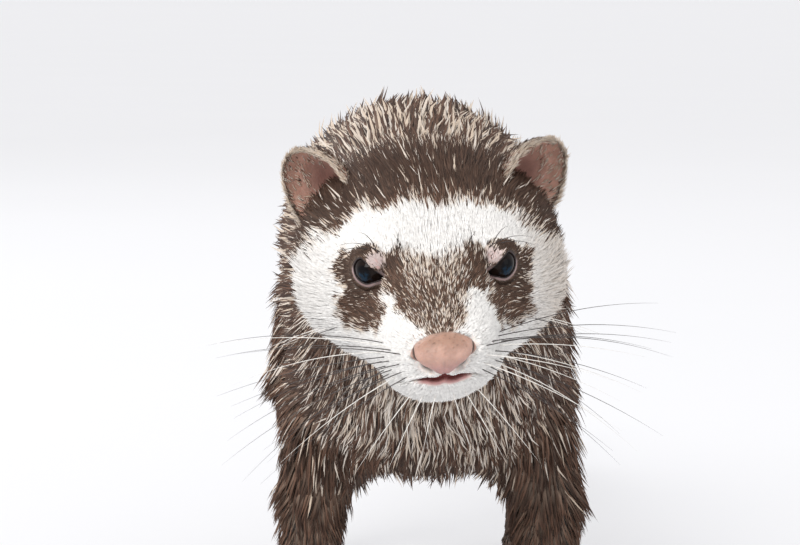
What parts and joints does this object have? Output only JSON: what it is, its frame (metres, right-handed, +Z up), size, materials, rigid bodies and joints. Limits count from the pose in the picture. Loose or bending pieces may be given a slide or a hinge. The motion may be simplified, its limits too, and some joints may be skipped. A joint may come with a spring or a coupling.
{
  "type": "ferret",
  "caption": "Still, life-size ferret standing on all fours and looking ahead, with a masked face, small round ears, a winter coat and a bushy tail.",
  "frame": {"origin": "on the floor, under the middle of the whole animal's box", "axes": "+Z up, +Y from head to tail, so the animal faces -Y with its left side towards +X"},
  "size_m": [0.0846, 0.5036, 0.1281],
  "materials": {
    "coat_sable": "dark brown guard hairs over a cream undercoat, matt",
    "coat_dark": "blackish brown hair, matt",
    "coat_white": "short white hair, matt",
    "nose": "moist pink-tan skin with fine grain",
    "ear": "thin pinkish-brown skin with sparse light hair",
    "eye": "wet, glossy, near black"
  },
  "bodies": {
    "root": {"chest": "coat_sable", "ear_left": "ear", "ear_right": "ear", "eye_left": "eye", "eye_right": "eye", "forearm_left": "coat_dark", "forearm_right": "coat_dark", "forepaw_left": "coat_dark", "forepaw_right": "coat_dark", "head": "coat_white", "hindpaw_left": "coat_dark", "hindpaw_right": "coat_dark", "jaw": "coat_white", "loin": "coat_sable", "neck": "coat_sable", "nose": "nose", "rump": "coat_sable", "shank_left": "coat_dark", "shank_right": "coat_dark", "tail_base": "coat_dark", "tail_end": "coat_dark", "tail_middle": "coat_dark", "thigh_left": "coat_dark", "thigh_right": "coat_dark", "upper_arm_left": "coat_dark", "upper_arm_right": "coat_dark"}
  },
  "joints": []
}
